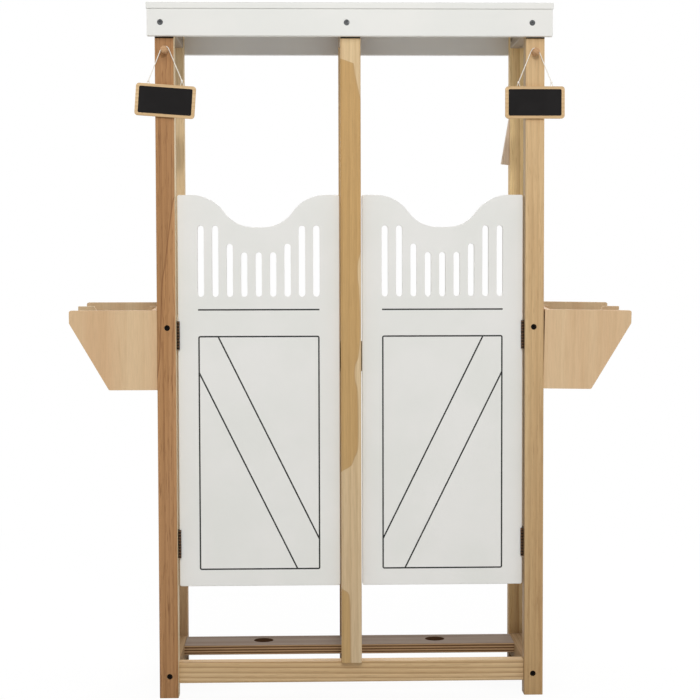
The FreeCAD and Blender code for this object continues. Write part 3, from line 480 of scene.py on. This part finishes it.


# wood: the kinds, with their colours, the rings' spacing, each piece's own marks, and on some
# pieces painted light and shade

sideRail = {"along": "Y", "seed": (0.18, 0.11, 0.7), "rings": 0.0070, "sharp": 2.4}
troughPly = {
    "along": "Z", "seed": (0.9, 0.6, 0.2), "rings": 0.022, "sharp": 1.6, "squeeze": 0.06,
    "pale": "#DBBE98", "warm": "#D4B18A", "late": "#BC966B", "contrast": 0.14, "streaks": 0.14,
    "flecks": 0.08, "fibre": 0.22, "rough": 0.5,
}
woods = {
    "brownPine": {
        "along": "Z", "seed": (0.330, 0.150, 0.4), "rings": 0.0064, "sharp": 2.2, "wander": 11.0,
        "pale": "#CC9D70", "warm": "#BB8B5C", "late": "#6E4325", "contrast": 0.26,
        "streaks": 0.28, "flecks": 0.46,
        "heart": [
            (0.0, -0.3040), (0.20, -0.3060), (0.40, -0.3085), (0.491, -0.3078),
            (0.513, -0.3045), (0.557, -0.3001), (0.599, -0.2985), (0.657, -0.2961),
            (0.684, -0.2920), (0.750, -0.2835), (0.789, -0.2779), (0.804, -0.2717),
            (0.86, -0.2700), (1.10, -0.2700),
        ],
        "heartSpan": (-0.31, -0.269), "heartBlur": 0.0016, "heartShare": 0.55,
        # painted shade at the foot, painted light on the side facing the stall, painted shadow
        # under the fascia
        "heartTone": "#A67B52", "heartRim": 0.55, "foot": (0.68, 0.66, 0.64), "footFrom": 0.95,
        "inner": "#EED9B4", "innerWay": 1.0, "fasciaShadowPainted": True,
    },
    "palePine": {
        "along": "Z", "seed": (-0.235, 0.160, 0.9), "rings": 0.0072, "sharp": 2.0,
        "wander": 12.0,
        "pale": "#E4C99D", "warm": "#D6B588", "late": "#9C7448", "contrast": 0.24,
        # painted shade at the foot and on the side facing the stall, painted shadow under the
        # fascia
        "streaks": 0.28, "flecks": 0.32, "foot": (0.62, 0.55, 0.47), "footFrom": 0.85,
        "inner": "#B89D78", "innerWay": -1.0, "fasciaShadowPainted": True,
    },
    # partly painted light: pine paler than its own tone, for light that the roof keeps off the
    # rear posts; painted shade at the foot and sole
    "rearPinePaintedLight": {
        "along": "Z", "seed": (0.240, -0.02, 1.7), "rings": 0.0085, "sharp": 2.2,
        "pale": "#F1DBB5", "warm": "#E4C79B", "late": "#AB8658", "contrast": 0.40,
        "streaks": 0.25, "flecks": 0.28, "gloss": 0.05,
        "foot": (0.50, 0.40, 0.34), "footFrom": 0.85,
        "soleShade": (0.12, 0.08, 0.05), "soleShadeFrom": 0.075,
    },
    # partly painted light: pine paler than its own tone, for light that the roof keeps off the
    # rear posts; painted shade at the foot and sole
    "rearBrownPinePaintedLight": {
        "along": "Z", "seed": (-0.250, -0.02, 1.1), "rings": 0.0092, "sharp": 1.8,
        "pale": "#F7E0B2", "warm": "#ECCD96", "late": "#A67442", "contrast": 0.50,
        "streaks": 0.34, "flecks": 0.28, "gloss": 0.05,
        "foot": (0.45, 0.37, 0.30), "footFrom": 0.85,
        "soleShade": (0.20, 0.14, 0.10), "soleShadeFrom": 0.075,
    },
    # painted shade: the rear centre post darkens strongly towards its foot
    "rearCentrePineShadedFoot": {
        "along": "Z", "seed": (0.0, -0.02, 0.6), "rings": 0.0088, "sharp": 2.2,
        "pale": "#D9BD92", "warm": "#C8A272", "late": "#96703F", "contrast": 0.5,
        "streaks": 0.25, "flecks": 0.30, "foot": (0.30, 0.24, 0.17), "footFrom": 0.9,
    },
    # painted shade: a greyer, darker copy of the rails' pine, for the top rails in the roof's
    # shade
    "topRailShadedPine": sideRail | {
        "pale": "#AFA190", "warm": "#A29483", "late": "#80705E", "contrast": 0.4,
        "streaks": 0.2,
    },
    "honeyPine": {
        "along": "Z", "seed": (0.045, 0.135, 2.2), "rings": 0.011, "sharp": 2.0,
        "pale": "#DFC499", "warm": "#D5B68B", "late": "#A07848", "contrast": 0.24,
        "streaks": 0.20, "flecks": 0.16,
        "heart": [
            (0.0, -0.0020), (0.072, -0.0020), (0.110, -0.0024), (0.144, -0.0027),
            (0.163, -0.0044), (0.173, -0.0154), (0.20, -0.0230), (0.33, -0.0230),
            (0.362, -0.0142), (0.367, -0.0017), (0.383, 0.0051), (0.404, 0.0107),
            (0.440, 0.0108), (0.486, 0.0098), (0.517, 0.0055), (0.541, 0.0110),
            (0.587, 0.0141), (0.645, 0.0125), (0.677, 0.0103), (0.705, 0.0149),
            (0.726, 0.0176), (0.929, 0.0180), (0.950, 0.0143), (0.983, 0.0072),
            (1.003, 0.0041), (1.015, -0.0230), (1.10, -0.0230),
        ],
        "heartSpan": (-0.024, 0.024), "heartBlur": 0.0013, "heartShare": 0.85,
        "heartTone": "#C29A60", "heartRim": 0.34, "heartLean": 0.1,
        # painted shade towards the foot, painted shadow under the fascia
        "foot": (0.84, 0.90, 1.02), "footFrom": 0.8, "fasciaShadowPainted": True,
    },
    "railPine": {
        "along": "X", "seed": (0.26, 0.05, 0.3), "rings": 0.0082, "sharp": 2.0, "wander": 15.0,
        "pale": "#D4B78E", "warm": "#C8A87C", "late": "#80592B", "contrast": 0.62,
        "streaks": 0.20, "flecks": 0.22,
    },
    "sidePine": sideRail | {
        "pale": "#D9BE92", "warm": "#CBA97A", "late": "#A07A4C", "contrast": 0.5,
        "streaks": 0.2, "flecks": 0.25,
    },
    "shadedPine": sideRail | {
        "pale": "#A38A68", "warm": "#94795A", "late": "#6B5236", "contrast": 0.45,
        "streaks": 0.2, "flecks": 0.25, "gloss": 0.03, "rough": 0.6,
    },
    "stopPine": {
        "along": "X", "seed": (0.1, 0.21, 0.4), "rings": 0.0070, "sharp": 2.2,
        "pale": "#A08864", "warm": "#917854", "late": "#6B5236", "contrast": 0.40,
        "streaks": 0.2,
    },
    "troughPly": troughPly,
    "troughPlyLong": troughPly | {"along": "Y"},
    # painted shade: a greyer, darker copy of the trough's plywood for the rear plate and divider
    # inside the trough
    "troughPlyInsideShaded": troughPly | {"pale": "#CEB997", "warm": "#C8AC89", "late": "#B1926A"},
    "signWood": {
        "along": "X", "seed": (0.4, 0.2, 0.1), "rings": 0.006, "sharp": 2.0,
        "pale": "#E0C297", "warm": "#D6B487", "late": "#AA8256", "contrast": 0.35,
        "streaks": 0.25, "flecks": 0.2,
    },
    "pegWood": {
        "along": "Y", "seed": (0.3, 0.2, 0.1), "rings": 0.0035, "sharp": 2.0,
        "pale": "#CDA57C", "warm": "#BF946C", "late": "#8E623D", "contrast": 0.35,
        "streaks": 0.2,
    },
    "wedgeWood": {
        "along": "Z", "seed": (0.7, 0.1, 0.5), "rings": 0.005, "sharp": 2.0,
        "pale": "#E4D0BA", "warm": "#D6C0AA", "late": "#AE967E", "contrast": 0.35,
        "streaks": 0.2,
    },
}
finishes = {name: woodMaterial(name, plainWood | w) for name, w in woods.items()}


# the shelf is thick plywood: its layers show on the front edge

shelfLook = {
    "along": "X", "seed": (0.3, 0.4, 0.1), "squeeze": 0.04,
    "fibre": (700.0, 3.0, 0.6), "cloud": (60.0, 3.0), "cloudEdges": (0.3, 0.7),
    # the top: the plywood's own grey-brown, darkened further as painted shade from the roof
    # above it
    "top": "#877A6F", "topWarm": "#7C6C60", "topEdges": (0.35, 0.8),
    "paleLayer": "#AD8D6A", "darkLayer": "#614833", "layerEdges": (-0.5, 0.4),
    "bottom": 0.038, "layer": 0.0023, "wobble": 0.0022,
    # the stick holes' walls carry painted shade
    "holeMiddle": 0.0545, "holeReach": 0.0168, "holeShade": "#4A3424",
    "grain": (0.5, 0.75), "rough": 0.75, "gloss": 0.03, "bump": (0.2, 0.0003),
}


def shelfMaterial(s):
    mat, tree, shader = newMaterial("shelfPly")
    place = grainPlace(tree, s["along"], s["seed"], s["squeeze"])
    fibre = noise(tree, place, *s["fibre"])
    cloud = noise(tree, place, *s["cloud"])
    warm = ramp(tree, cloud, *s["cloudEdges"])
    face = blendColours(tree, warm, shade(s["top"]), shade(s["topWarm"]))
    parts = split(tree, spot(tree))
    wobble = maths(tree, "MULTIPLY", maths(tree, "SUBTRACT", cloud, 0.5), s["wobble"])
    level = maths(tree, "ADD", maths(tree, "SUBTRACT", parts["Z"], s["bottom"]), wobble)
    band = maths(tree, "SINE", maths(tree, "MULTIPLY", level, math.pi / s["layer"]))
    pale = ramp(tree, band, *s["layerEdges"])
    layers = blendColours(tree, pale, shade(s["darkLayer"]), shade(s["paleLayer"]))
    # painted shade on the walls of the stick holes
    away = maths(tree, "ABSOLUTE", maths(tree, "SUBTRACT", parts["Y"], s["holeMiddle"]))
    inHole = maths(tree, "LESS_THAN", away, s["holeReach"])
    layers = blendColours(tree, inHole, layers, shade(s["holeShade"]))
    facing = split(tree, spot(tree, "Normal"))["Z"]
    flat = ramp(tree, maths(tree, "ABSOLUTE", facing), *s["topEdges"])
    tone = blendColours(tree, flat, layers, face)
    grained(tree, shader, tone, maths(tree, "MULTIPLY_ADD", fibre, *s["grain"]))
    shader.inputs["Roughness"].default_value = s["rough"]
    shader.inputs["Specular IOR Level"].default_value = s["gloss"]
    bumped(tree, shader, maths(tree, "ADD", fibre, band), *s["bump"])
    return mat


finishes["shelfPly"] = shelfMaterial(shelfLook)


# white lacquer, with the grooves of the doors filled dark

paints = {                       # the colour and its faint clouds
    "whiteBoard": ("#E6E5E1", "#E3E3DF"),
    # painted shade: a cooler, greyer copy of the white paint for the rear fascia under the roof
    "whiteRearShadeTint": ("#E4E4E4", "#E0E0E1"),
    "whiteDoor": ("#E9E8E5", "#E5E5E1"),
}
paintLook = {
    "cloud": (9.0, 3.0), "cloudEdges": (0.35, 0.65), "spray": (900.0, 2.0),
    "rough": (0.12, 0.36), "gloss": 0.35, "bump": (0.08, 0.0002),
}
grooves = {
    "tone": "#20211F",
    "front": -0.106,             # Y of the doors' front
    "full": 0.00015,             # depths below it
    "end": 0.0016,
    "low": 0.199,
    "top": 0.622,
    "middle": 0.1453,            # from the stable's middle to a door's
    "half": 0.0962,
}


def grooveMask(tree, place, g):
    parts = split(tree, place)
    depth = maths(tree, "SUBTRACT", parts["Y"], g["front"])
    across = maths(tree, "SUBTRACT", maths(tree, "ABSOLUTE", parts["X"]), g["middle"])
    mask = ramp(tree, depth, 0.0, g["full"])
    for side, value, limit in (
        ("LESS_THAN", depth, g["end"]),
        ("LESS_THAN", parts["Z"], g["top"]),
        ("GREATER_THAN", parts["Z"], g["low"]),
        ("LESS_THAN", maths(tree, "ABSOLUTE", across), g["half"]),
    ):
        mask = maths(tree, "MULTIPLY", mask, maths(tree, side, value, limit))
    return mask


def paintMaterial(name, colours, p):
    mat, tree, shader = newMaterial(name)
    place = spot(tree)
    cloud = noise(tree, place, *p["cloud"])
    spray = noise(tree, place, *p["spray"])
    colour, clouded = colours
    cloudy = ramp(tree, cloud, *p["cloudEdges"])
    tone = blendColours(tree, cloudy, shade(colour), shade(clouded))
    if name == "whiteDoor":
        tone = blendColours(tree, grooveMask(tree, place, grooves), tone, shade(grooves["tone"]))
    tree.links.new(tone, shader.inputs["Base Color"])
    rough = maths(tree, "MULTIPLY_ADD", cloud, *p["rough"])
    tree.links.new(rough, shader.inputs["Roughness"])
    shader.inputs["Specular IOR Level"].default_value = p["gloss"]
    bumped(tree, shader, spray, *p["bump"])
    return mat


for name, colours in paints.items():
    finishes[name] = paintMaterial(name, colours, paintLook)


# metal

metals = {
    "hingeMetal": {
        "base": "#1E140D", "worn": "#7C5E46", "metallic": 0.35, "rough": 0.45, "wear": 0.55,
        "gloss": 0.15, "notch": 0.0048,
    },
    "blackMetal": {
        "base": "#0C0603", "worn": "#2A1A0E", "metallic": 0.2, "rough": 0.5, "wear": 0.35,
        "gloss": 0.1,
    },
    "greyMetal": {
        "base": "#3C3D3E", "worn": "#8D9092", "metallic": 0.7, "rough": 0.4, "wear": 0.4,
        "gloss": 0.5,
    },
    "zincMetal": {
        "base": "#A9A9A4", "worn": "#C9C8C2", "metallic": 0.95, "rough": 0.32, "wear": 0.3,
        "gloss": 0.5,
    },
}
metalLook = {
    "cloud": {"noise": (240.0, 4.0, 0.65), "edges": (0.5, 0.75)},
    "scratch": (1400.0, 3.0, 0.7), "notchEdges": (-0.4, 0.5),
    "roughSpread": 0.25, "roughDrop": 0.1, "bump": (0.15, 0.0002),
}


def metalMaterial(name, m, look):
    mat, tree, shader = newMaterial(name)
    place = spot(tree)
    worn = patches(tree, place, look["cloud"])
    scratch = noise(tree, place, *look["scratch"])
    if "notch" in m:  # dark notches along the knuckles
        turns = maths(tree, "MULTIPLY", split(tree, place)["Z"], 2 * math.pi / m["notch"])
        ridge = ramp(tree, maths(tree, "SINE", turns), *look["notchEdges"])
        worn = maths(tree, "MAXIMUM", worn, ridge)
    tone = tinted(tree, shade(m["base"]), worn, m["wear"], m["worn"])
    tree.links.new(tone, shader.inputs["Base Color"])
    shader.inputs["Metallic"].default_value = m["metallic"]
    shader.inputs["Specular IOR Level"].default_value = m["gloss"]
    low = m["rough"] - look["roughDrop"]
    rough = maths(tree, "MULTIPLY_ADD", scratch, look["roughSpread"], low)
    tree.links.new(rough, shader.inputs["Roughness"])
    bumped(tree, shader, scratch, *look["bump"])
    return mat


for name, values in metals.items():
    finishes[name] = metalMaterial(name, values, metalLook)


# chalkboard, felt and cotton

boardLook = {
    "base": "#191717", "dusty": "#1D1B1B",
    "dust": {"noise": (45.0, 3.0), "edges": (0.35, 0.7)},
    "grit": (2400.0, 2.0, 0.7), "rough": (0.2, 0.68), "gloss": 0.15, "bump": (0.2, 0.0002),
}
fibres = {
    "felt": {
        "low": "#3A3029", "high": "#544840", "noise": (1500.0, 3.0, 0.7), "rough": 0.95,
        "sheen": 0.0, "bump": (0.4, 0.0002),
    },
    "cotton": {
        "low": "#E6DED0", "high": "#FFFDF6", "noise": (2600.0, 3.0, 0.7), "rough": 0.9,
        "sheen": 0.25, "bump": (0.5, 0.0002),
    },
}


def chalkboardMaterial(b):
    mat, tree, shader = newMaterial("chalkboard")
    place = spot(tree)
    dust = patches(tree, place, b["dust"])
    grit = noise(tree, place, *b["grit"])
    tone = blendColours(tree, dust, shade(b["base"]), shade(b["dusty"]))
    tree.links.new(tone, shader.inputs["Base Color"])
    rough = maths(tree, "MULTIPLY_ADD", grit, *b["rough"])
    tree.links.new(rough, shader.inputs["Roughness"])
    shader.inputs["Specular IOR Level"].default_value = b["gloss"]
    bumped(tree, shader, grit, *b["bump"])
    return mat


def fibreMaterial(name, f):
    mat, tree, shader = newMaterial(name)
    fibre = noise(tree, spot(tree), *f["noise"])
    tone = blendColours(tree, fibre, shade(f["low"]), shade(f["high"]))
    tree.links.new(tone, shader.inputs["Base Color"])
    shader.inputs["Roughness"].default_value = f["rough"]
    shader.inputs["Sheen Weight"].default_value = f["sheen"]
    bumped(tree, shader, fibre, *f["bump"])
    return mat


finishes["chalkboard"] = chalkboardMaterial(boardLook)
for name, values in fibres.items():
    finishes[name] = fibreMaterial(name, values)
for piece in cottonPieces:
    piece.data.materials.clear()
    piece.data.materials.append(finishes["cotton"])


# which node wears which finish, by how its name ends: the first that fits counts

wardrobe = [
    ("front_left_post", "brownPine"), ("rear_left_post", "rearPinePaintedLight"),
    ("front_right_post", "palePine"), ("rear_right_post", "rearBrownPinePaintedLight"),
    ("rear_centre_post", "rearCentrePineShadedFoot"), ("centre_post", "honeyPine"),
    ("front_bottom_rail", "railPine"), ("_bottom_rail", "shadedPine"),
    ("_middle_rail", "sidePine"), ("_top_rail", "topRailShadedPine"),
    ("front_fascia", "whiteBoard"), ("rear_fascia", "whiteRearShadeTint"), ("roof_board", "whiteBoard"),
    ("stick_shelf", "shelfPly"), ("wedge_rest", "wedgeWood"),
    ("left_door", "whiteDoor"), ("right_door", "whiteDoor"),
    ("door_stop", "stopPine"), ("door_stop_pads", "felt"),
    ("_post_leaves", "hingeMetal"), ("_door_leaves", "hingeMetal"), ("_pins", "hingeMetal"),
    ("hinge_post_screws", "blackMetal"), ("_door_screws", "blackMetal"),
    ("_trough_front", "troughPly"), ("_trough_rear", "troughPlyInsideShaded"),
    ("_trough_divider", "troughPlyInsideShaded"), ("_trough_bottom", "troughPlyLong"),
    ("_outer_board", "troughPlyLong"), ("_back_board", "troughPlyLong"),
    ("trough_dowels", "pegWood"), ("trough_screws", "zincMetal"),
    ("_sign_board", "signWood"), ("_sign_panel", "chalkboard"),
    ("_sign_string", "cotton"), ("_sign_peg", "pegWood"),
    ("frame_bolts", "blackMetal"), ("roof_bolts", "greyMetal"),
    ("centre_post_bolts", "greyMetal"), ("barrel_nuts", "zincMetal"),
    ("wood_screws", "zincMetal"),
]
for name, node in nodes.items():
    finish = next(value for end, value in wardrobe if name.endswith(end))
    for place in node.material_slots:
        place.material = finishes[finish]
print("finishes on")


# floor, world and lamps

stageSetup = {
    "floorSize": 40.0,
    "floor": "#CFCFCC",          # as the light sees it
    "floorSeen": "#FCFCFC",      # as the camera, a mirror or glass sees it
    "floorRough": 0.9,
    "floorShow": 0.93,           # share of plain white near the object, where its shadow shows
    "fadeFrom": 0.7,             # further out the floor turns all white
    "fadeTo": 1.8,
    "world": 0.48,
    "white": (1.0, 1.0, 1.0, 1.0),
    "lamps": {
        "key": {"place": (0.12, -3.1, 1.9), "aim": (0, 0, 0.8), "size": 0.35, "power": 26.5},
        "fill": {"place": (-0.2, -2.6, 2.5), "aim": (0, 0, 0.9), "size": 1.8, "power": 20.5},
        "back": {"place": (0.3, 2.6, 2.4), "aim": (0, 0, 0.6), "size": 2.0, "power": 40.0},
        "left": {"place": (-2.7, 0.35, 1.6), "aim": (0, 0, 0.6), "size": 1.8, "power": 22.0},
        "right": {"place": (2.7, 0.35, 1.6), "aim": (0, 0, 0.6), "size": 1.8, "power": 22.0},
    },
}


def seenDirectly(tree):  # 1 where the camera, a mirror or glass sees it
    path = add(tree, "LightPath").outputs
    seen = maths(tree, "MAXIMUM", path["Is Camera Ray"], path["Is Glossy Ray"])
    return maths(tree, "MAXIMUM", seen, path["Is Transmission Ray"])


def addFloor(s):
    bpy.ops.mesh.primitive_plane_add(size=s["floorSize"], location=(0, 0, 0))
    floor = bpy.context.object
    floor.name = "floor"
    mat, tree, shader = newMaterial("floor")
    seen = seenDirectly(tree)
    tone = blendColours(tree, seen, shade(s["floor"]), shade(s["floorSeen"]))
    tree.links.new(tone, shader.inputs["Base Color"])
    shader.inputs["Roughness"].default_value = s["floorRough"]
    shader.inputs["Specular IOR Level"].default_value = 0.0
    glow = add(tree, "Emission", values={"Color": s["white"], "Strength": 1.0})
    away = add(tree, "VectorMath", {"Vector": spot(tree)}, operation="LENGTH")
    fade = ramp(tree, away.outputs["Value"], s["fadeFrom"], s["fadeTo"])
    white = maths(tree, "MULTIPLY_ADD", fade, 1 - s["floorShow"], s["floorShow"])
    share = maths(tree, "MULTIPLY", seen, white)
    mix = add(tree, "MixShader", {0: share, 1: shader.outputs[0], 2: glow.outputs[0]})
    tree.links.new(mix.outputs[0], tree.nodes["Material Output"].inputs["Surface"])
    floor.data.materials.append(mat)


def addWorld(s):
    world = bpy.data.worlds.new("studio")
    scene.world = world
    world.use_nodes = True
    tree = world.node_tree
    soft = tree.nodes["Background"]
    soft.inputs["Color"].default_value = s["white"]
    soft.inputs["Strength"].default_value = s["world"]
    white = add(tree, "Background", values={"Color": s["white"], "Strength": 1.0})
    links = {0: seenDirectly(tree), 1: soft.outputs[0], 2: white.outputs[0]}
    mix = add(tree, "MixShader", links)
    tree.links.new(mix.outputs[0], tree.nodes["World Output"].inputs["Surface"])


def addLamps(s):
    for name, lamp in s["lamps"].items():
        place = Vector(lamp["place"])
        aim = (Vector(lamp["aim"]) - place).to_track_quat("-Z", "Y").to_euler()
        bpy.ops.object.light_add(type="AREA", location=place, rotation=aim)
        light = bpy.context.object
        light.name = name
        light.data.shape = "DISK"
        light.data.size = lamp["size"]
        light.data.energy = lamp["power"]


addFloor(stageSetup)
addWorld(stageSetup)
addLamps(stageSetup)
scene.view_settings.view_transform = "Standard"
print("floor, world and lamps placed")
